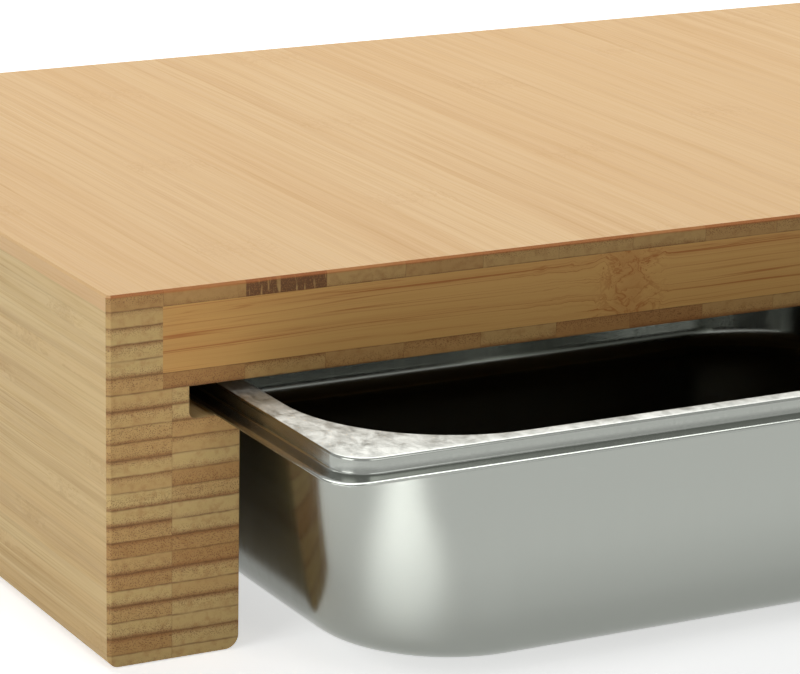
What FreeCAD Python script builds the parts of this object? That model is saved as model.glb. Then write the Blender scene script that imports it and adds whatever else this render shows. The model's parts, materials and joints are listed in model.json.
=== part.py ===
# Bamboo cutting board on side walls, with two deep-drawn steel trays that slide in grooves under it.
# Millimetres, +Z up, board's front towards -Y.  The origin is under the middle of the whole thing,
# with the large tray pulled out, at the height of the worktop that it stands on.
import FreeCAD, Part
import math
import os

from FreeCAD import Vector

# ---- bamboo stock -------------------------------------------------------------------------------
STRIP_THICKNESS = 4.6      # every planed strip, laid flat in the plies or stacked in the walls
STRIP_WIDTH = 24.3         # the flat strips of the two plies
CORE_HEIGHT = 18.4         # the core's strips stand on edge and are this tall

# ---- board --------------------------------------------------------------------------------------
OUTER_COLUMN = 18.9        # width of a wall's outer stack of strips
RABBET = 2.7               # how far core and lower ply are let into the outer stack
TOP_FIRST_STRIP = 16.4     # what is left of the first strip of the top ply, at the left end
CORNER_EASE = 1.0          # upright arrises at the board's four corners
TOP_EASE = 0.6             # arris round the cutting surface
FOOT_OUTER_ROUND = 3.0     # bottom edge on the outside of a wall
FOOT_INNER_ROUND = 4.0     # bottom edge on a tray's side of a wall

# ---- grooves ------------------------------------------------------------------------------------
LIP_BEARING = 8.0          # how far a tray's lip lies over the groove's floor
SIDE_PLAY = 7.1            # lip edge to groove wall, each side
GROOVE_WEB = 5.0           # wood between a groove's wall and the back of its stack
GROOVE_STOP = 8.7          # wood left behind the groove's end, which stops the tray
STOP_PLAY = 1.3            # tray to that end when the tray is flush with the board's front
SEAT_CLEARANCE = 0.2       # lip's lowest edge over the groove's floor
GROOVE_HEIGHT = 2 * STRIP_THICKNESS  # the groove takes up the stack's two uppermost strips
UNDER_TRAY = 7.6           # worktop to the tray's bottom
GROOVE_LIP_ROUND = 1.7     # edge of the floor towards the tray
GROOVE_CORNER_ROUND = 2.0  # between the groove's wall and its floor

# ---- trays --------------------------------------------------------------------------------------
LARGE_TRAY_WIDTH = 325.0   # over the lip; with the depth this is half a standard catering pan
SMALL_TRAY_WIDTH = 162.0   # over the lip; a quarter pan
TRAY_DEPTH = 265.0         # over the lip, front to back
TRAY_HEIGHT = 66.0         # land to underside of the basin, which is 65 deep inside
SHEET = 0.8                # thickness of the steel
LIP_WIDTH = 5.5            # flange outside the step
LIP_CORNER = 11.0          # plan radius of the lip
STEP_HEIGHT = 4.9          # land to the flange's top, at the step
STEP_CORNER = 10.0         # plan radius of the step
SIDE_RIM = 15.0            # lip edge to basin opening, left and right
FRONT_RIM = 12.0           # lip edge to basin opening, front and back
OPENING_CORNER = 46.0      # plan radius of the basin at the land
DRAFT = 4.5                # degrees from upright, all round the basin
BASIN_ROUND = 7.0          # outside radius between the walls and the bottom
OPENING_ROUND = 2.0        # rolled edge from the land into the basin
ROUND_CHORDS = 4           # flats that the basin's rounding is built from
ROLL_CHORDS = 2            # flats that the rolled edge is built from
LARGE_TRAY_PULL = 73.5     # how far the large tray stands out at rest
SMALL_TRAY_PULL = 0.0      # the small one is shut at rest

# ---- worked out ---------------------------------------------------------------------------------
GROOVE_DEPTH = SIDE_PLAY + LIP_BEARING
INNER_COLUMN = GROOVE_DEPTH + GROOVE_WEB
LAND_TOP = UNDER_TRAY + TRAY_HEIGHT
LIP_BOTTOM = LAND_TOP - STEP_HEIGHT - SHEET
GROOVE_FLOOR = LIP_BOTTOM - SEAT_CLEARANCE
PANEL_BOTTOM = GROOVE_FLOOR + GROOVE_HEIGHT
CORE_BOTTOM = PANEL_BOTTOM + STRIP_THICKNESS
CORE_TOP = CORE_BOTTOM + CORE_HEIGHT
BOARD_HEIGHT = CORE_TOP + STRIP_THICKNESS
LARGE_BAY = LARGE_TRAY_WIDTH + 2 * SIDE_PLAY
SMALL_BAY = SMALL_TRAY_WIDTH + 2 * SIDE_PLAY
BOARD_WIDTH = 2 * (OUTER_COLUMN + GROOVE_WEB) + LARGE_BAY + 2 * GROOVE_WEB + SMALL_BAY
BOARD_DEPTH = TRAY_DEPTH + STOP_PLAY + GROOVE_STOP
LEFT = -BOARD_WIDTH / 2
FRONT = (max(LARGE_TRAY_PULL, SMALL_TRAY_PULL) - BOARD_DEPTH) / 2
BACK = FRONT + BOARD_DEPTH
LARGE_BAY_LEFT = LEFT + OUTER_COLUMN + GROOVE_WEB
DIVIDER_MIDDLE = LARGE_BAY_LEFT + LARGE_BAY + GROOVE_WEB
SMALL_BAY_LEFT = DIVIDER_MIDDLE + GROOVE_WEB
MARGIN = 1.0               # how far cutters run past what they cut
TOUCH = 0.01               # two heights or places nearer than this are the same

X_AXIS = Vector(1, 0, 0)
Y_AXIS = Vector(0, 1, 0)
Z_AXIS = Vector(0, 0, 1)


# ---- helpers ------------------------------------------------------------------------------------
def block(low, high):
    """Box between two corners."""
    size = high - low
    return Part.makeBox(size.x, size.y, size.z, low)


def edges_along(shape, direction, keep):
    """Straight edges of a shape that run along a direction and whose middle passes a test."""
    found = []
    for edge in shape.Edges:
        run = edge.Vertexes[-1].Point - edge.Vertexes[0].Point
        straight = abs(abs(run.normalize().dot(direction)) - 1) < 1e-6
        if straight and keep(edge.CenterOfMass):
            found.append(edge)
    return found


def rounded_edges(shape, radius, direction, keep):
    """The shape with the chosen edges rounded."""
    return shape.makeFillet(radius, edges_along(shape, direction, keep))


def sliced(shape, axis, first, pitch, last):
    """Cut a shape into strips along an axis; the first strip ends at first, the last at last."""
    box = shape.BoundBox
    pad = Vector(MARGIN, MARGIN, MARGIN)
    low = Vector(box.XMin, box.YMin, box.ZMin) - pad
    high = Vector(box.XMax, box.YMax, box.ZMax) + pad
    step = math.copysign(pitch, last - first)
    strips = []
    for n in range(math.ceil(abs(last - first) / pitch - TOUCH) + 1):
        near, far = sorted((first + step * (n - 1), first + step * n))
        slab = block(low + axis * (near - axis.dot(low)), high + axis * (far - axis.dot(high)))
        strips += shape.common(slab).Solids
    return strips


def from_top(shape, top):
    """A stack of flat strips, counted from its top down, so the lowest one is the planed one."""
    return sliced(shape, Z_AXIS, top - STRIP_THICKNESS, STRIP_THICKNESS, 0)


def save(node, solids):
    """One STEP file for a node."""
    Part.makeCompound(solids).exportStep("parts/" + node + ".step")
    print(node, len(solids), "solids", round(sum(s.Volume for s in solids)), "mm3")


# ---- the board ----------------------------------------------------------------------------------
def eased_board():
    """The board's outer block with its arrises eased; every wooden piece lies within it."""
    body = block(Vector(LEFT, FRONT, 0), Vector(-LEFT, BACK, BOARD_HEIGHT))
    body = body.makeChamfer(CORNER_EASE, edges_along(body, Z_AXIS, lambda at: True))
    top = [edge for edge in body.Edges if edge.BoundBox.ZMin > BOARD_HEIGHT - TOUCH]
    return body.makeChamfer(TOP_EASE, top)


def panel_layer(bottom, top, inset):
    """A flat layer of the panel, its ends set in from the board's sides."""
    layer = block(Vector(LEFT + inset, FRONT, bottom), Vector(-LEFT - inset, BACK, top))
    return layer.common(eased_board())


def top_ply():
    """The cutting surface: flat strips that run front to back over the whole width."""
    layer = panel_layer(CORE_TOP, BOARD_HEIGHT, 0)
    return sliced(layer, X_AXIS, LEFT + TOP_FIRST_STRIP, STRIP_WIDTH, -LEFT)


def core():
    """Strips on edge that run from side to side, one behind the other."""
    layer = panel_layer(CORE_BOTTOM, CORE_TOP, OUTER_COLUMN - RABBET)
    return sliced(layer, Y_AXIS, FRONT + STRIP_THICKNESS, STRIP_THICKNESS, BACK)


def lower_ply():
    """Flat strips, front to back, that close the core from below and roof the bays."""
    inset = OUTER_COLUMN - RABBET
    layer = panel_layer(PANEL_BOTTOM, CORE_BOTTOM, inset)
    return sliced(layer, X_AXIS, LEFT + inset + STRIP_WIDTH, STRIP_WIDTH, -LEFT - inset)


def wall_outer():
    """Left wall's outer stack: up to the top ply, stepped back where the panel is let in."""
    right = LEFT + OUTER_COLUMN
    stack = block(Vector(LEFT, FRONT, 0), Vector(right, BACK, CORE_TOP))
    seat = block(
        Vector(right - RABBET, FRONT - MARGIN, PANEL_BOTTOM),
        Vector(right + MARGIN, BACK + MARGIN, CORE_TOP + MARGIN),
    )
    at_foot = lambda at: at.z < TOUCH and at.x < LEFT + TOUCH
    stack = rounded_edges(stack.cut(seat), FOOT_OUTER_ROUND, Y_AXIS, at_foot)
    return from_top(stack.common(eased_board()), CORE_TOP)


def grooved_column(left):
    """A stack up to the panel, with a groove under the panel that is open to +X and to the front.
    Gives the strips that carry the groove's floor and those that the groove is cut into."""
    right = left + INNER_COLUMN
    stack = block(Vector(left, FRONT, 0), Vector(right, BACK, PANEL_BOTTOM))
    groove = block(
        Vector(right - GROOVE_DEPTH, FRONT - MARGIN, GROOVE_FLOOR),
        Vector(right + MARGIN, BACK - GROOVE_STOP, PANEL_BOTTOM + MARGIN),
    )
    at_corner = lambda at: at.z < GROOVE_FLOOR + TOUCH and at.x < right - GROOVE_DEPTH + TOUCH
    stack = stack.cut(rounded_edges(groove, GROOVE_CORNER_ROUND, Y_AXIS, at_corner))
    at_foot = lambda at: at.z < TOUCH and at.x > right - TOUCH
    stack = rounded_edges(stack, FOOT_INNER_ROUND, Y_AXIS, at_foot)
    at_floor = lambda at: abs(at.z - GROOVE_FLOOR) < TOUCH and at.x > right - TOUCH
    stack = rounded_edges(stack, GROOVE_LIP_ROUND, Y_AXIS, at_floor)
    strips = from_top(stack, PANEL_BOTTOM)
    cut_into = [strip for strip in strips if strip.BoundBox.ZMin > GROOVE_FLOOR - TOUCH]
    return strips[len(cut_into):], cut_into


def mirrored(solids, at_x):
    """The same solids on the other side of an upright plane."""
    return [solid.mirror(Vector(at_x, 0, 0), X_AXIS) for solid in solids]


# ---- the trays ----------------------------------------------------------------------------------
def rounded_rectangle(half_x, half_y, corner, height):
    """Closed wire: a rectangle with round corners, about the Z axis, at a height."""
    corner_x = half_x - corner
    corner_y = half_y - corner
    diagonal = corner * math.sqrt(0.5)
    edges = []
    ends = []
    for sx, sy in ((1, 1), (-1, 1), (-1, -1), (1, -1)):
        on_side = Vector(sx * half_x, sy * corner_y, height)
        middle = Vector(sx * (corner_x + diagonal), sy * (corner_y + diagonal), height)
        on_front = Vector(sx * corner_x, sy * half_y, height)
        turn = (on_side, middle, on_front) if sx * sy > 0 else (on_front, middle, on_side)
        if ends:
            edges.append(Part.LineSegment(ends[-1], turn[0]).toShape())
        edges.append(Part.Arc(*turn).toShape())
        ends += [turn[0], turn[2]]
    edges.append(Part.LineSegment(ends[-1], ends[0]).toShape())
    return Part.Wire(edges)


def plate(half_x, half_y, corner, bottom, top):
    """Upright prism on a rounded rectangle."""
    face = Part.Face(rounded_rectangle(half_x, half_y, corner, bottom))
    return face.extrude(Vector(0, 0, top - bottom))


def basin_rings(skin):
    """The basin's upright section, as pairs of an inset and a height, from the bottom up: the
    rounding, the leaning wall and the edge rolled out into the land, the last two as chords."""
    draft = math.radians(DRAFT)
    floor = UNDER_TRAY + skin
    rounding = BASIN_ROUND - skin
    roll = OPENING_ROUND - SHEET + skin
    roll_top = LAND_TOP - SHEET + skin
    lean = (roll_top - roll - floor) * math.tan(draft)
    centre = lean - rounding * math.tan(draft) + rounding / math.cos(draft)
    rings = []
    for n in range(ROUND_CHORDS + 1):
        turn = (math.pi / 2 - draft) * n / ROUND_CHORDS
        rings.append((centre - rounding * math.sin(turn), floor + rounding * (1 - math.cos(turn))))
    for n in range(ROLL_CHORDS + 1):
        turn = math.pi / 2 * n / ROLL_CHORDS
        rings.append((-roll * (1 - math.cos(turn)), roll_top - roll * (1 - math.sin(turn))))
    rings.append((-roll, LAND_TOP + MARGIN))
    return rings


def basin(half_x, half_y, corner, skin):
    """The basin's form, drawn in by a skin all over and carried up through the land."""
    wires = []
    for inset, height in basin_rings(skin):
        inset += skin
        wires.append(rounded_rectangle(half_x - inset, half_y - inset, corner - inset, height))
    return Part.makeLoft(wires, True, True)


def tray(width):
    """Deep-drawn tray about the Z axis: basin, flat land, step down and lip, all one sheet."""
    half_x = width / 2
    half_y = TRAY_DEPTH / 2
    step_x = half_x - LIP_WIDTH
    step_y = half_y - LIP_WIDTH
    outer_form = (half_x - SIDE_RIM + SHEET, half_y - FRONT_RIM + SHEET, OPENING_CORNER + SHEET)
    outside = basin(*outer_form, 0)
    inside = basin(*outer_form, SHEET)
    above = plate(half_x, half_y, LIP_CORNER, LAND_TOP, LAND_TOP + 2 * MARGIN)
    lip = plate(half_x, half_y, LIP_CORNER, LIP_BOTTOM, LIP_BOTTOM + SHEET)
    land = plate(step_x, step_y, STEP_CORNER, LIP_BOTTOM, LAND_TOP)
    hollow = plate(
        step_x - SHEET, step_y - SHEET, STEP_CORNER - SHEET, LIP_BOTTOM - MARGIN, LAND_TOP - SHEET
    )
    rim = lip.fuse(land).cut(hollow.cut(outside))
    return rim.fuse(outside.cut(above)).cut(inside).removeSplitter()


def placed_tray(width, bay_left, pull):
    """A tray hung in its bay and pulled out by some travel from flush with the board's front."""
    shape = tray(width)
    shape.translate(Vector(bay_left + SIDE_PLAY + width / 2, FRONT + TRAY_DEPTH / 2 - pull, 0))
    return shape.Solids


# ---- nodes --------------------------------------------------------------------------------------
os.makedirs("parts", exist_ok=True)
left_outer = wall_outer()
left_inner, left_groove = grooved_column(LEFT + OUTER_COLUMN)
divider_right, divider_groove = grooved_column(DIVIDER_MIDDLE)
save("top_ply", top_ply())
save("core", core())
save("lower_ply", lower_ply())
save("left_wall_outer", left_outer)
save("left_wall_inner", left_inner)
save("left_wall_groove", left_groove)
save("divider_left", mirrored(divider_right, DIVIDER_MIDDLE))
save("divider_left_groove", mirrored(divider_groove, DIVIDER_MIDDLE))
save("divider_right", divider_right)
save("divider_right_groove", divider_groove)
save("right_wall_inner", mirrored(left_inner, 0))
save("right_wall_groove", mirrored(left_groove, 0))
save("right_wall_outer", mirrored(left_outer, 0))
save("large_tray", placed_tray(LARGE_TRAY_WIDTH, LARGE_BAY_LEFT, LARGE_TRAY_PULL))
save("small_tray", placed_tray(SMALL_TRAY_WIDTH, SMALL_BAY_LEFT, SMALL_TRAY_PULL))
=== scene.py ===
# Looks of the bamboo cutting board and its two steel trays: materials for the bamboo, trays as drawn
# sheet with a rolled mouth, a stepped rim and drooping lip corners, a pale floor and soft light.
import json
import math

import bpy
import bmesh
from mathutils import Matrix, Vector


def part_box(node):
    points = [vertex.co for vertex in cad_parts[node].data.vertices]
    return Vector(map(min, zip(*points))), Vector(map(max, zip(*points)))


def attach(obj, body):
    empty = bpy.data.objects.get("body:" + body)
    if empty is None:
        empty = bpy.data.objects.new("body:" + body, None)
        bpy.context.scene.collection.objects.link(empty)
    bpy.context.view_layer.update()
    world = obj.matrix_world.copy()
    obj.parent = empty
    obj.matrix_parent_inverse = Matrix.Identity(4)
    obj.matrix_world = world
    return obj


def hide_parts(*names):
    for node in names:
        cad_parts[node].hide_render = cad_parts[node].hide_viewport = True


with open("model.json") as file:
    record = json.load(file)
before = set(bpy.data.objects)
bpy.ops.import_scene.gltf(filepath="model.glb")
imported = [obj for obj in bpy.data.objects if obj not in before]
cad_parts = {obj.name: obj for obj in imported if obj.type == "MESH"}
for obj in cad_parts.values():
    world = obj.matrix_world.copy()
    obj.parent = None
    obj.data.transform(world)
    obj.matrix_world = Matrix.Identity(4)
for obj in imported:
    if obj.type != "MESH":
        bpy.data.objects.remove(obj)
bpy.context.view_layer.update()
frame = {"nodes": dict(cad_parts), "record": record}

MM = 0.001
BOARD = [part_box(node) for node in frame["record"]["behaviour"]["bodies"]["board"]]
LEFT = min(low.x for low, high in BOARD) / MM
FRONT = min(low.y for low, high in BOARD) / MM
TOP = max(high.z for low, high in BOARD) / MM
STACK_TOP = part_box("left_wall_outer")[1].z / MM
INNER_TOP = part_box("left_wall_groove")[1].z / MM
PANEL_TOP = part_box("lower_ply")[1].z / MM
PANEL_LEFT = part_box("core")[0].x / MM
STRIP_THICKNESS = TOP - STACK_TOP
STRIP_WIDTH = 24.3
TOP_FIRST_STRIP = 16.4


# ---- node helper --------------------------------------------------------------------------------
class Net:
    """A material's node tree with short names for the nodes that are used here."""

    def __init__(self, name):
        self.material = bpy.data.materials.new(name)
        self.material.use_nodes = True
        self.tree = self.material.node_tree
        self.tree.nodes.clear()
        self.surface = self.tree.nodes.new("ShaderNodeBsdfPrincipled")
        output = self.tree.nodes.new("ShaderNodeOutputMaterial")
        self.tree.links.new(self.surface.outputs[0], output.inputs["Surface"])

    def feed(self, socket, value):
        """Link a socket, or set it to a constant."""
        if isinstance(value, bpy.types.NodeSocket):
            self.tree.links.new(value, socket)
        else:
            socket.default_value = value

    def math(self, operation, *values, clamp=False):
        node = self.tree.nodes.new("ShaderNodeMath")
        node.operation = operation
        node.use_clamp = clamp
        for socket, value in zip(node.inputs, values):
            self.feed(socket, value)
        return node.outputs[0]

    def pack(self, x, y, z):
        node = self.tree.nodes.new("ShaderNodeCombineXYZ")
        for socket, value in zip(node.inputs, (x, y, z)):
            self.feed(socket, value)
        return node.outputs[0]

    def scaled(self, vector, sizes):
        """The vector, each part of it divided by its own size."""
        return self.pack(*(self.math("DIVIDE", part, size) for part, size in zip(vector, sizes)))

    def split(self, vector):
        node = self.tree.nodes.new("ShaderNodeSeparateXYZ")
        self.feed(node.inputs[0], vector)
        return list(node.outputs)

    def place(self):
        """Place in millimetres, in the part's frame."""
        source = self.tree.nodes.new("ShaderNodeTexCoord")
        scale = self.tree.nodes.new("ShaderNodeVectorMath")
        scale.operation = "SCALE"
        self.feed(scale.inputs[0], source.outputs["Object"])
        scale.inputs["Scale"].default_value = 1 / MM
        return self.split(scale.outputs[0])

    def facing(self):
        """The surface's direction, in the part's frame."""
        source = self.tree.nodes.new("ShaderNodeTexCoord")
        return self.split(source.outputs["Normal"])

    def noise(self, vector, detail=2.0, roughness=0.5, distortion=0.0):
        node = self.tree.nodes.new("ShaderNodeTexNoise")
        self.feed(node.inputs["Vector"], vector)
        node.inputs["Scale"].default_value = 1.0
        node.inputs["Detail"].default_value = detail
        node.inputs["Roughness"].default_value = roughness
        node.inputs["Distortion"].default_value = distortion
        return node.outputs["Fac"]

    def cells(self, vector):
        node = self.tree.nodes.new("ShaderNodeTexVoronoi")
        self.feed(node.inputs["Vector"], vector)
        node.inputs["Scale"].default_value = 1.0
        return node.outputs["Distance"]

    def chance(self, vector):
        node = self.tree.nodes.new("ShaderNodeTexWhiteNoise")
        self.feed(node.inputs["Vector"], vector)
        return node.outputs["Value"]

    def fade(self, value, low, high, to_low=0.0, to_high=1.0):
        """Smooth step from to_low at low to to_high at high."""
        node = self.tree.nodes.new("ShaderNodeMapRange")
        node.interpolation_type = "SMOOTHSTEP"
        for socket, number in zip(node.inputs, (value, low, high, to_low, to_high)):
            self.feed(socket, number)
        return node.outputs[0]

    def mix(self, factor, first, second, blend="MIX"):
        node = self.tree.nodes.new("ShaderNodeMix")
        node.data_type = "RGBA"
        node.blend_type = blend
        self.feed(node.inputs["Factor"], factor)
        for socket, value in zip((node.inputs[6], node.inputs[7]), (first, second)):
            self.feed(socket, (*value, 1.0) if isinstance(value, tuple) else value)
        return node.outputs[2]

    def mix_value(self, factor, first, second):
        node = self.tree.nodes.new("ShaderNodeMix")
        for socket, value in zip(node.inputs, (factor, None, first, second)):
            if value is not None:
                self.feed(socket, value)
        return node.outputs[0]

    def bump(self, height, strength, distance):
        node = self.tree.nodes.new("ShaderNodeBump")
        node.inputs["Strength"].default_value = strength
        node.inputs["Distance"].default_value = distance
        self.feed(node.inputs["Height"], height)
        return node.outputs[0]


def shade(r, g, b):
    """A colour given as it looks on a screen, 0 to 255, as the linear values that Blender wants."""
    parts = [v / 255 for v in (r, g, b)]
    return tuple(v / 12.92 if v <= 0.04045 else ((v + 0.055) / 1.055) ** 2.4 for v in parts)


# ---- bamboo -------------------------------------------------------------------------------------
X, Y, Z = 0, 1, 2
GLUE = shade(104, 66, 30)
SKIN = shade(132, 82, 38)
BUNDLE = shade(98, 58, 26)
# painted light: the orange-brown line along the front top arris, where light falls on the eased edge
ARRIS_LIGHT = shade(184, 104, 46)
DARK_STRIP = shade(92, 54, 26)
NODE_PITCH = 260.0
NODE_STEP = 97.3
WOBBLE_SIZE = (26.0, 60.0, 26.0)
RUFFLE_SIZE = (7.0, 5.0, 5.0)
BUNDLE_SIZE = (0.42, 0.42, 55.0)
CLOUD_SIZE = (60.0, 130.0, 30.0)

TOP_TONES = (shade(225, 190, 140), shade(219, 179, 126), shade(192, 142, 84))
WALL_TONES = (shade(220, 196, 142), shade(212, 180, 124), shade(176, 136, 84))
CORE_TONES = (shade(206, 162, 96), shade(200, 152, 84), shade(164, 96, 42))
LOWER_TONES = (shade(176, 140, 88), shade(160, 118, 68), shade(128, 84, 44))
END_TONES = (shade(197, 168, 111), shade(184, 145, 88), shade(160, 112, 60))
PLY_TONES = (shade(182, 146, 90), shade(172, 128, 74), shade(146, 98, 52))


def bamboo(name, grain, across, through, tones, end_tones, seed,
           brown=(), node_at=0.0, nodes=0.25, streaks=1.0, lines=0.3, dark_row=None, arris_light=False):
    """Laminated bamboo.  grain is the axis that the fibres run along; across and through give
    the axis, first cut and pitch of the strips' width and thickness.  brown lists the strips cut
    close to the culm's skin: rows by their number, layers by a negative one, down from the top.
    nodes, streaks and lines are how strongly the culm's nodes, the soft streaks and the thin
    lines show."""
    net = Net(name)
    place = net.place()
    face = net.facing()
    along = place[grain]
    deep = place[through[0]]
    wobble = net.noise(net.scaled(place, WOBBLE_SIZE))
    wobble = net.math("MULTIPLY", net.math("SUBTRACT", wobble, 0.5), 0.5)
    # a face that lies on a boundary between strips belongs to the strip under it
    flat = net.math("SUBTRACT", 1.0, net.math("ABSOLUTE", face[through[0]]))
    wobble = net.math("MULTIPLY", wobble, flat)
    inside = net.math("SUBTRACT", deep, net.math("MULTIPLY", face[through[0]], 0.4))
    inside_wide = net.math("SUBTRACT", place[across[0]], net.math("MULTIPLY", face[across[0]], 0.4))
    wide = net.math("DIVIDE", net.math("SUBTRACT", inside_wide, across[1]), across[2])
    thick = net.math("DIVIDE", net.math("SUBTRACT", net.math("ADD", inside, wobble), through[1]), through[2])
    row = net.math("FLOOR", net.math("SUBTRACT", wide, 0.001))
    layer = net.math("FLOOR", net.math("SUBTRACT", thick, 0.001))
    in_layer = net.math("FRACT", thick)
    tone = net.chance(net.pack(row, layer, seed))
    other = net.chance(net.pack(layer, row, seed + 31.7))
    third = net.chance(net.pack(row, seed + 11.3, layer))
    shift = net.math("MULTIPLY", tone, 90.0)
    picked = 0.0
    for number in brown:
        here = net.math("COMPARE", layer if number < 0 else row, float(number), 0.1)
        picked = net.math("ADD", here, picked)
    tone = net.math("ADD", net.math("MULTIPLY", tone, 0.5), net.math("MULTIPLY", picked, 0.42))

    # the culm's nodes: a brown, ruffled band across a strip
    offset = net.math("MULTIPLY", net.math("ADD", net.math("MULTIPLY", layer, 1.7), row), NODE_STEP)
    from_middle = net.math("SUBTRACT", net.math("SUBTRACT", along, node_at), offset)
    turn = net.math("FRACT", net.math("ADD", net.math("DIVIDE", from_middle, NODE_PITCH), 0.5))
    from_middle = net.math("MULTIPLY", net.math("SUBTRACT", turn, 0.5), NODE_PITCH)
    ruffle = net.noise(net.scaled((along, deep, place[across[0]]), RUFFLE_SIZE), 3.0, 0.6, 0.6)
    ruffle = net.math("SUBTRACT", ruffle, 0.5)
    near = net.fade(net.math("ABSOLUTE", from_middle), 3.0, 15.0, 1.0, 0.0)
    approach = net.fade(from_middle, -55.0, -8.0)
    approach = net.math("MULTIPLY", approach, net.fade(from_middle, 0.0, 12.0, 1.0, 0.0))
    from_band = net.math("ABSOLUTE", net.math("ADD", from_middle, net.math("MULTIPLY", ruffle, 12.0)))
    band = net.fade(from_band, 0.5, 8.0, 1.0, 0.0)

    # vascular bundles: columns along the grain, closer and darker towards the culm's skin
    wander = net.noise(net.pack(net.math("DIVIDE", along, 90.0), shift, other))
    sway = net.math("ADD", net.math("MULTIPLY", near, 13.0), net.math("MULTIPLY", approach, 2.6))
    sway = net.math("MULTIPLY", net.math("MULTIPLY", ruffle, sway), nodes * 1.6)
    side = net.math("ADD", place[across[0]], net.math("ADD", net.math("MULTIPLY", wander, 2.4), shift))
    side = net.math("ADD", side, sway)
    bundle = net.cells(net.scaled((side, deep, along), BUNDLE_SIZE))
    bundle = net.fade(bundle, 0.1, 0.52, 1.0, 0.0)
    flip = net.math("GREATER_THAN", other, 0.5)
    skin = net.math("ABSOLUTE", net.math("SUBTRACT", in_layer, flip))
    reach = net.math("ADD", net.math("MULTIPLY", third, 0.7), net.math("MULTIPLY", picked, 0.5))
    dense = net.math("MULTIPLY", bundle, net.fade(net.math("ADD", skin, reach), 0.55, 1.35, 0.06, 1.0))

    # long soft streaks, fine fibres, and thin dark lines along the grain
    def fibres(width, length, detail=3.0, roughness=0.55):
        return net.noise(net.scaled((side, deep, along), (width, width, length)), detail, roughness)

    broad = fibres(4.2, 260.0)
    narrow = fibres(0.8, 90.0, 3.0, 0.62)
    contour = net.math("ABSOLUTE", net.math("SUBTRACT", fibres(3.4, 420.0, 2.0, 0.5), 0.5))
    thin = net.fade(contour, 0.0, 0.02, 1.0, 0.0)
    broken = net.fade(fibres(2.0, 34.0, 2.0), 0.36, 0.52)
    thin = net.math("MULTIPLY", thin, net.mix_value(approach, net.fade(broad, 0.3, 0.5), broken))
    dash = net.math("ABSOLUTE", net.math("SUBTRACT", fibres(1.5, 70.0, 2.0, 0.5), 0.5))
    dash = net.math("MULTIPLY", net.fade(dash, 0.0, 0.03, 0.6, 0.0), net.fade(broad, 0.42, 0.58))
    knot = net.math("MULTIPLY", net.fade(net.math("ABSOLUTE", ruffle), 0.0, 0.05, 1.0, 0.0), near)
    thin = net.math("MAXIMUM", net.math("MAXIMUM", thin, dash), net.math("MULTIPLY", knot, 0.8))
    cloud = net.noise(net.scaled(place, CLOUD_SIZE))

    pale, warm, deep_tone = tones
    long_colour = net.mix(tone, pale, warm)
    long_colour = net.mix(net.fade(broad, 0.4, 0.8, 0.0, 0.8 * streaks), long_colour, deep_tone)
    long_colour = net.mix(net.fade(narrow, 0.46, 0.8, 0.0, 0.6 * streaks), long_colour, deep_tone)
    long_colour = net.mix(net.fade(cloud, 0.35, 0.7, 0.0, 0.4), long_colour, warm)
    long_colour = net.mix(net.math("MULTIPLY", thin, lines), long_colour, deep_tone)
    long_colour = net.mix(net.math("MULTIPLY", band, nodes * 0.35), long_colour, deep_tone)

    end_pale, end_warm, end_brown = end_tones
    end_colour = net.mix(net.fade(tone, 0.1, 0.8), end_pale, end_warm)
    end_colour = net.mix(net.math("MULTIPLY", net.fade(tone, 0.55, 1.0), 0.5), end_colour, end_brown)
    end_colour = net.mix(net.fade(fibres(2.2, 300.0), 0.42, 0.8, 0.0, 0.5), end_colour, end_brown)
    edge = net.math("MULTIPLY", net.fade(skin, 0.66, 1.0), net.fade(third, 0.0, 0.7, 0.25, 0.75))
    end_colour = net.mix(edge, end_colour, SKIN)
    end_colour = net.mix(net.math("MULTIPLY", dense, 0.8), end_colour, BUNDLE)
    if dark_row is not None:
        there = net.math("COMPARE", row, float(dark_row), 0.1)
        slits = net.noise(
            net.pack(net.math("DIVIDE", place[across[0]], 1.3), 0.0, net.math("DIVIDE", deep, 9.0)), 2.0
        )
        there = net.math("MULTIPLY", there, net.fade(slits, 0.56, 0.66, 0.9, 0.1))
        darkest = net.mix(bundle, DARK_STRIP, end_brown)
        end_colour = net.mix(there, end_colour, darkest)

    end_on = net.fade(net.math("ABSOLUTE", face[grain]), 0.45, 0.75)
    colour = net.mix(end_on, long_colour, end_colour)

    # glue lines between layers and between rows
    rough_line = net.fade(
        net.noise(net.pack(net.math("DIVIDE", along, 30.0), net.math("DIVIDE", side, 5.0), layer)),
        0.3, 0.65, 0.3, 1.0,
    )
    from_glue = net.math("MULTIPLY", net.math("PINGPONG", thick, 0.5), through[2])
    from_glue = net.math("ADD", from_glue, net.fade(flat, 0.3, 0.7, 1.0, 0.0))
    from_joint = net.math("MULTIPLY", net.math("PINGPONG", wide, 0.5), across[2])
    from_joint = net.math("ADD", from_joint, net.fade(net.math("ABSOLUTE", face[across[0]]), 0.3, 0.7))
    line = net.math("MULTIPLY", net.fade(from_glue, 0.05, 0.45, 0.7, 0.0), rough_line)
    joint = net.fade(from_joint, 0.02, 0.16, 0.4, 0.0)
    seam = net.math("MAXIMUM", line, joint)
    seam = net.math("MULTIPLY", seam, net.math("ADD", net.math("MULTIPLY", end_on, 0.88), 0.12))
    colour = net.mix(seam, colour, GLUE)
    # painted light: an orange-brown line painted on the front faces just under the top, where light falls on
    # the eased arris
    if arris_light:
        high = net.fade(net.math("ADD", place[Z], net.math("MULTIPLY", wobble, 2.0)), TOP - 1.2, TOP - 0.6)
        front = net.fade(net.math("ABSOLUTE", face[Y]), 0.4, 0.65)
        colour = net.mix(net.math("MULTIPLY", net.math("MULTIPLY", high, front), 0.6), colour, ARRIS_LIGHT)

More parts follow.
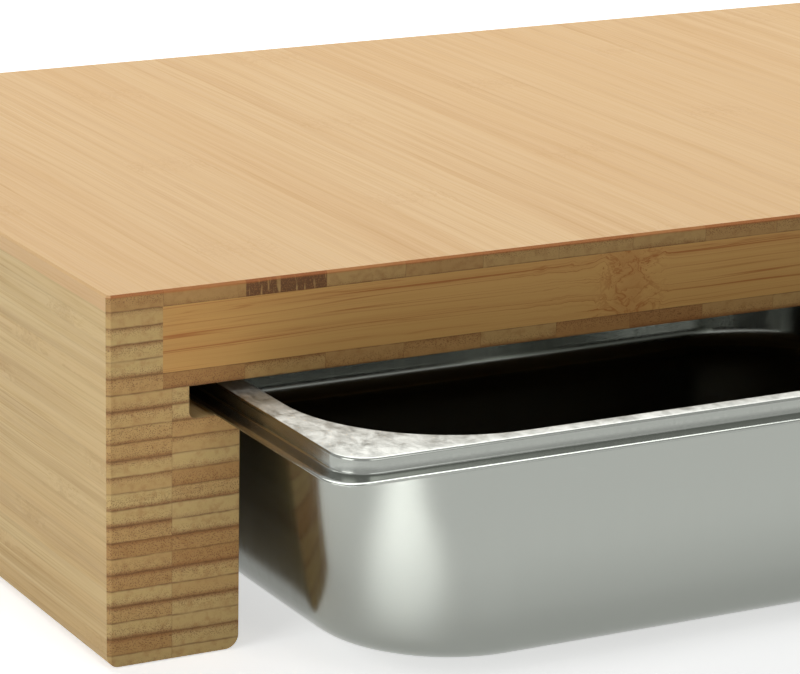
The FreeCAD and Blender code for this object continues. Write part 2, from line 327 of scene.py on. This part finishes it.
    net.feed(net.surface.inputs["Base Color"], colour)
    net.feed(net.surface.inputs["Roughness"], net.fade(narrow, 0.2, 0.8, 0.44, 0.62))
    net.surface.inputs["Specular IOR Level"].default_value = 0.3
    relief = net.math("ADD", net.math("MULTIPLY", dense, -0.5), net.math("MULTIPLY", seam, -1.0))
    relief = net.math("ADD", relief, net.math("MULTIPLY", narrow, 0.5))
    net.feed(net.surface.inputs["Normal"], net.bump(relief, 0.25, 0.00025))
    return net.material


def dress_board():
    """Give each wooden node its bamboo."""
    stack = (Z, STACK_TOP, STRIP_THICKNESS)
    inner = (Z, INNER_TOP, STRIP_THICKNESS)
    looks = {
        "top_ply": bamboo(
            "bamboo_top", Y, (X, LEFT + TOP_FIRST_STRIP, STRIP_WIDTH), (Z, TOP, STRIP_THICKNESS),
            TOP_TONES, PLY_TONES, 3.0, nodes=0.12, streaks=0.45, lines=0.25, dark_row=1, arris_light=True,
        ),
        "lower_ply": bamboo(
            "bamboo_lower", Y, (X, PANEL_LEFT, STRIP_WIDTH), (Z, PANEL_TOP, STRIP_THICKNESS),
            LOWER_TONES, PLY_TONES, 5.0, brown=(0, 2, 3, 5, 6, 9, 12, 14, 15, 18, 20),
        ),
        "core": bamboo(
            "bamboo_core", X, (Z, STACK_TOP, STACK_TOP - PANEL_TOP), (Y, FRONT, STRIP_THICKNESS),
            CORE_TONES, PLY_TONES, 7.0, node_at=LEFT + 162.0 + NODE_STEP, nodes=0.7, streaks=0.55, lines=0.85,
        ),
    }
    outer_brown = (-5, -8, -9, -14, -15, -17, -19, -21)
    inner_brown = (-3, -6, -7, -10, -11)
    for number, (node, groove) in enumerate((
        ("left_wall_outer", None), ("right_wall_outer", None), ("left_wall_inner", "left_wall_groove"),
        ("divider_left", "divider_left_groove"), ("divider_right", "divider_right_groove"),
        ("right_wall_inner", "right_wall_groove"),
    )):
        low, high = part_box(node)
        looks[node] = bamboo(
            "bamboo_" + node, Y, (X, low.x / MM, (high.x - low.x) / MM), inner if groove else stack,
            WALL_TONES, END_TONES, 11.0 + number, brown=inner_brown if groove else outer_brown, nodes=0.3,
        )
        if groove:
            looks[groove] = looks[node]
    for node, material in looks.items():
        mesh = frame["nodes"][node].data
        mesh.materials.clear()
        mesh.materials.append(material)


# ---- trays --------------------------------------------------------------------------------------
SHEET = 0.8
LIP_WIDTH = 5.5
LIP_CORNER = 11.0
LIP_FALL = 0.5
LIP_LEVEL_FALL = 0.15
STEP_HEIGHT = 4.4
STEP_CORNER = 10.0
SIDE_RIM = 15.0
FRONT_RIM = 12.0
OPENING_CORNER = 46.0
BASIN_CORNER = 40.0
SIDE_DRAFT = math.radians(5.5)
FRONT_DRAFT = math.radians(2.5)
BASIN_ROUND = 8.0
MOUTH_ROUND = 2.0
STEP_ROUND = 0.9
ARC_STEPS = 6
CORNER_STEPS = 20
SIDE_STEPS = 16


def ring(half_x, half_y, corner, height, droop=0.0):
    """Points of a rounded rectangle, counter-clockwise from above; corners droop by an amount."""
    points = []
    for quarter in range(4):
        sx = 1 if quarter in (0, 3) else -1
        sy = 1 if quarter in (0, 1) else -1
        for n in range(CORNER_STEPS + 1):
            share = n / CORNER_STEPS
            angle = math.pi / 2 * (quarter + share)
            x = sx * (half_x - corner) + corner * math.cos(angle)
            y = sy * (half_y - corner) + corner * math.sin(angle)
            points.append(Vector((x, y, height - droop * math.sin(math.pi * share) ** 2)))
        start = points[-1]
        nx = sx if quarter in (1, 3) else -sx
        ny = -sy if quarter in (1, 3) else sy
        if quarter in (0, 2):
            end = Vector((nx * (half_x - corner), start.y, height))
        else:
            end = Vector((start.x, ny * (half_y - corner), height))
        points += [start.lerp(end, n / SIDE_STEPS) for n in range(1, SIDE_STEPS)]
    return points


def tray_stations(half_x, half_y, bottom, top):
    """Rings of the sheet's surface, from the middle of the floor out over the rim and back under."""
    mouth_x = half_x - SIDE_RIM
    mouth_y = half_y - FRONT_RIM
    depth = top - bottom

    def wall(height, skin, inset=0.0, bulge=0.0):
        down = top - height
        corner = OPENING_CORNER + (BASIN_CORNER - OPENING_CORNER) * down / depth
        out = SHEET - skin - inset + bulge
        return (
            mouth_x - down * math.tan(SIDE_DRAFT) + out,
            mouth_y - down * math.tan(FRONT_DRAFT) + out,
            corner + out,
            height,
        )

    def basin_side(skin):
        radius = BASIN_ROUND - skin
        floor = bottom + skin
        rings = [wall(floor, skin, radius + inset) for inset in (16.0, 6.0, 0.0)]
        for n in range(1, ARC_STEPS + 1):
            turn = math.pi / 2 * n / ARC_STEPS
            rings.append(wall(floor + radius * (1 - math.cos(turn)), skin, radius * (1 - math.sin(turn))))
        reach = top - MOUTH_ROUND - (floor + radius)
        for n in range(1, 8):
            share = n / 8
            rings.append(wall(floor + radius + reach * share, skin, 0, 0.7 * math.sin(math.pi * share)))
        return rings

    stations = [(*values, 0.0) for values in basin_side(SHEET)]
    roll = MOUTH_ROUND
    for n in range(ARC_STEPS + 1):
        turn = math.pi / 2 * n / ARC_STEPS
        out = roll * (1 - math.cos(turn))
        rise = roll * (1 - math.sin(turn))
        stations.append((mouth_x + out, mouth_y + out, OPENING_CORNER + out, top - rise, 0.0))
    step_x = half_x - LIP_WIDTH
    step_y = half_y - LIP_WIDTH
    share_in = 0.5
    stations.append((
        mouth_x + (step_x - mouth_x) * share_in, mouth_y + (step_y - mouth_y) * share_in,
        OPENING_CORNER * (1 - share_in) + STEP_CORNER * share_in, top, 0.0,
    ))
    for n in range(ARC_STEPS + 1):
        turn = math.pi / 2 * n / ARC_STEPS
        back = STEP_ROUND * (1 - math.sin(turn))
        fall = STEP_ROUND * (1 - math.cos(turn))
        stations.append((step_x - back, step_y - back, STEP_CORNER - back, top - fall, 0.0))
    lip_top = top - STEP_HEIGHT
    stations.append((step_x, step_y, STEP_CORNER, lip_top + STEP_ROUND / 2, 0.0))
    stations.append((step_x + 0.15, step_y + 0.15, STEP_CORNER + 0.15, lip_top + 0.12, 0.0))
    droop = LIP_FALL - LIP_LEVEL_FALL
    for share in (0.15, 0.4, 0.7, 0.94):
        out = LIP_WIDTH * share
        corner = STEP_CORNER + (LIP_CORNER - STEP_CORNER) * share
        stations.append((step_x + out, step_y + out, corner, lip_top - LIP_LEVEL_FALL * share, droop * share))
    edge = lip_top - LIP_LEVEL_FALL
    stations.append((half_x, half_y, LIP_CORNER, edge - 0.25, droop))
    stations.append((half_x, half_y, LIP_CORNER, edge - SHEET + 0.15, droop))
    stations.append((half_x - 0.3, half_y - 0.3, LIP_CORNER - 0.3, edge - SHEET, droop))
    under_x = step_x - SHEET
    under_y = step_y - SHEET
    under_corner = STEP_CORNER - SHEET
    stations.append((step_x + 0.4, step_y + 0.4, STEP_CORNER + 0.4, lip_top - SHEET, 0.0))
    stations.append((under_x, under_y, under_corner, lip_top - SHEET + 0.6, 0.0))
    stations.append((under_x, under_y, under_corner, top - SHEET - 0.3, 0.0))
    stations.append((under_x - 0.3, under_y - 0.3, under_corner - 0.3, top - SHEET, 0.0))
    out = MOUTH_ROUND
    stations.append((mouth_x + out, mouth_y + out, OPENING_CORNER + out, top - SHEET, 0.0))
    for n in range(1, ARC_STEPS):
        turn = math.pi / 2 * n / ARC_STEPS
        out = SHEET + (roll - SHEET) * (1 - math.sin(turn))
        fall = SHEET + (roll - SHEET) * (1 - math.cos(turn))
        stations.append((mouth_x + out, mouth_y + out, OPENING_CORNER + out, top - fall, 0.0))
    stations += [(*values, 0.0) for values in reversed(basin_side(0.0))]
    return stations


def tray_mesh(name, node):
    """One closed sheet, skinned over its rings, where the CAD node lies."""
    low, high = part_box(node)
    middle = (low + high) / 2 / MM
    half = (high - low) / 2 / MM
    rings = [ring(*station) for station in tray_stations(half.x, half.y, low.z / MM, high.z / MM)]
    bm = bmesh.new()
    rows = []
    for points in rings:
        rows.append([
            bm.verts.new(((p.x + middle.x) * MM, (p.y + middle.y) * MM, p.z * MM)) for p in points
        ])
    count = len(rows[0])
    for inner, outer in zip(rows, rows[1:]):
        for n in range(count):
            m = (n + 1) % count
            bm.faces.new((inner[n], inner[m], outer[m], outer[n]))
    bm.faces.new(rows[0])
    bm.faces.new(list(reversed(rows[-1])))
    bmesh.ops.recalc_face_normals(bm, faces=bm.faces)
    mesh = bpy.data.meshes.new(name)
    bm.to_mesh(mesh)
    bm.free()
    for polygon in mesh.polygons:
        polygon.use_smooth = len(polygon.vertices) == 4
    piece = bpy.data.objects.new(name, mesh)
    bpy.context.scene.collection.objects.link(piece)
    return piece


# painted shade: the steel's base is darker than real stainless, standing in for dimmer surroundings that the
# walls mirror
STEEL = shade(148, 151, 145)
# the land's paler base: partly real wear, partly a painted sheen for the light the land catches
WEAR_AND_SHEEN_STEEL = shade(212, 213, 207)
DRAW_SIZE = (1.1, 1.1, 60.0)
SCUFF_SIZE = (4.0, 6.0, 6.0)


def steel():
    """Drawn stainless sheet: satin walls with faint upright draw marks, and a scuffed land whose paler base
    is partly real wear and partly a painted sheen.
    """
    net = Net("tray_steel")
    place = net.place()
    face = net.facing()
    draw = net.noise(net.scaled(place, DRAW_SIZE), 4.0, 0.65)
    scuff = net.noise(net.scaled(place, SCUFF_SIZE), 6.0, 0.72, 0.5)
    rim_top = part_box("large_tray")[1].z / MM
    level = net.fade(face[Z], 0.75, 0.97)
    flat = net.math("MULTIPLY", level, net.fade(place[Z], rim_top - 2.5, rim_top - 1.0))
    # scuffs on the flat land: real wear in roughness and bumps, and a paler base there that is partly a
    # painted sheen
    wear_and_sheen = net.math("MULTIPLY", flat, net.fade(scuff, 0.15, 0.75))
    roughness = net.math("ADD", net.fade(draw, 0.3, 0.7, 0.15, 0.21), net.math("MULTIPLY", flat, 0.16))
    roughness = net.math("ADD", roughness, net.math("MULTIPLY", wear_and_sheen, 0.24))
    net.surface.inputs["Metallic"].default_value = 1.0
    net.feed(net.surface.inputs["Base Color"], net.mix(wear_and_sheen, STEEL, WEAR_AND_SHEEN_STEEL))
    net.feed(net.surface.inputs["Roughness"], roughness)
    relief = net.math("ADD", net.math("MULTIPLY", draw, 0.6), net.math("MULTIPLY", wear_and_sheen, 1.0))
    net.feed(net.surface.inputs["Normal"], net.bump(relief, 0.1, 0.0001))
    return net.material


def make_trays():
    """Both trays, from one function."""
    material = steel()
    for node in ("large_tray", "small_tray"):
        piece = tray_mesh(node + "_sheet", node)
        piece.data.materials.append(material)
        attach(piece, node)
        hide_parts(node)


# ---- stage --------------------------------------------------------------------------------------
ROOM_LIGHT = 0.2
FLOOR_OWN = 0.56
FLOOR_NEAR = 600.0
FLOOR_FAR = 1500.0
FLOOR_HALF = 6000.0
FLOOR_DROP = 0.4


def seen_rays(tree):
    """1 for the rays that show the background: the camera's, and those off metal or through glass."""
    path = tree.nodes.new("ShaderNodeLightPath")
    total = path.outputs["Is Camera Ray"]
    for ray in ("Is Glossy Ray", "Is Transmission Ray"):
        node = tree.nodes.new("ShaderNodeMath")
        node.operation = "MAXIMUM"
        tree.links.new(total, node.inputs[0])
        tree.links.new(path.outputs[ray], node.inputs[1])
        total = node.outputs[0]
    return total


def make_floor():
    """Pale floor, wide enough to fill the view.  Near the part, the lamps' light on it and some of
    its own add up to about white, and the part's shadow stays.  Its own light rises with distance,
    to white by itself where the lamps don't reach."""
    net = Net("floor")
    net.surface.inputs["Base Color"].default_value = (0.92, 0.92, 0.92, 1.0)
    net.surface.inputs["Roughness"].default_value = 0.9
    net.surface.inputs["Specular IOR Level"].default_value = 0.0
    net.surface.inputs["Emission Color"].default_value = (1.0, 1.0, 1.0, 1.0)
    place = net.place()
    across, along = (net.math("MULTIPLY", place[axis], place[axis]) for axis in (X, Y))
    distance = net.math("SQRT", net.math("ADD", across, along))
    own = net.fade(distance, FLOOR_NEAR, FLOOR_FAR, FLOOR_OWN, 1.0)
    net.feed(net.surface.inputs["Emission Strength"], net.math("MULTIPLY", seen_rays(net.tree), own))

    mesh = bpy.data.meshes.new("floor")
    half = FLOOR_HALF * MM
    corners = [(-half, -half, 0), (half, -half, 0), (half, half, 0), (-half, half, 0)]
    mesh.from_pydata(corners, [], [(0, 1, 2, 3)])
    mesh.materials.append(net.material)
    floor = bpy.data.objects.new("floor", mesh)
    bpy.context.scene.collection.objects.link(floor)
    floor.location.z = -FLOOR_DROP * MM


def make_world():
    """White where it is seen, also in the metal; a soft grey room to everything else."""
    world = bpy.data.worlds.new("room")
    bpy.context.scene.world = world
    world.use_nodes = True
    tree = world.node_tree
    tree.nodes.clear()
    output = tree.nodes.new("ShaderNodeOutputWorld")
    background = tree.nodes.new("ShaderNodeBackground")
    strength = tree.nodes.new("ShaderNodeMapRange")
    strength.inputs["To Min"].default_value = ROOM_LIGHT
    strength.inputs["To Max"].default_value = 1.0
    tree.links.new(seen_rays(tree), strength.inputs["Value"])
    tree.links.new(strength.outputs[0], background.inputs["Strength"])
    tree.links.new(background.outputs[0], output.inputs["Surface"])


def area_light(name, place, target, size, power, spread):
    """Soft lamp that looks at a point; spread, in degrees, narrows its beam."""
    data = bpy.data.lights.new(name, "AREA")
    data.shape = "RECTANGLE"
    data.size, data.size_y = size
    data.energy = power
    data.spread = math.radians(spread)
    lamp = bpy.data.objects.new(name, data)
    bpy.context.scene.collection.objects.link(lamp)
    lamp.location = place
    lamp.rotation_euler = (Vector(target) - Vector(place)).to_track_quat("-Z", "Y").to_euler()


def make_camera():
    """Long lens, a little above the board, turned to look along its front from the left."""
    yaw = math.radians(28.285)
    pitch = math.radians(15.891)
    roll = math.radians(1.053)
    from_corner = Vector((-386.4, -881.3, 368.0))
    focal_pixels = 3777.6
    picture_width = 800
    ahead = Vector((math.sin(yaw) * math.cos(pitch), math.cos(yaw) * math.cos(pitch), -math.sin(pitch)))
    right = Vector((math.cos(yaw), -math.sin(yaw), 0))
    up = right.cross(ahead)
    right_rolled = right * math.cos(roll) + up * math.sin(roll)
    up_rolled = up * math.cos(roll) - right * math.sin(roll)
    data = bpy.data.cameras.new("camera")
    data.sensor_width = 36.0
    data.lens = focal_pixels / picture_width * data.sensor_width
    data.clip_end = 50.0
    camera = bpy.data.objects.new("camera", data)
    bpy.context.scene.collection.objects.link(camera)
    turn = Matrix((right_rolled, up_rolled, -ahead)).transposed()
    place = (from_corner + Vector((LEFT, FRONT, 0))) * MM
    camera.matrix_world = Matrix.Translation(place) @ turn.to_4x4()
    bpy.context.scene.camera = camera


make_camera()
dress_board()
make_trays()
make_floor()
make_world()
# name, place, target and size in metres, power in watts, spread of the beam in degrees
LAMPS = (
    ("back_key", (0.15, 0.55, 1.5), (0.0, 0.0, 0.1), (1.4, 1.0), 19.0, 180.0),
    ("left_fill", (-1.7, -0.5, 0.7), (-0.25, 0.0, 0.06), (1.0, 1.0), 9.5, 180.0),
    # lights the floor beside the tray's corner, which the corner mirrors as an upright band
    ("table_spot", (-0.412, -0.287, 0.24), (-0.37, -0.257, 0.0), (0.03, 0.24), 0.2, 24.0),
    ("front_fill", (0.2, -1.8, 1.2), (0.0, 0.0, 0.06), (1.2, 1.0), 7.0, 180.0),
)
for lamp in LAMPS:
    area_light(*lamp)
bpy.context.scene.view_settings.view_transform = "Standard"
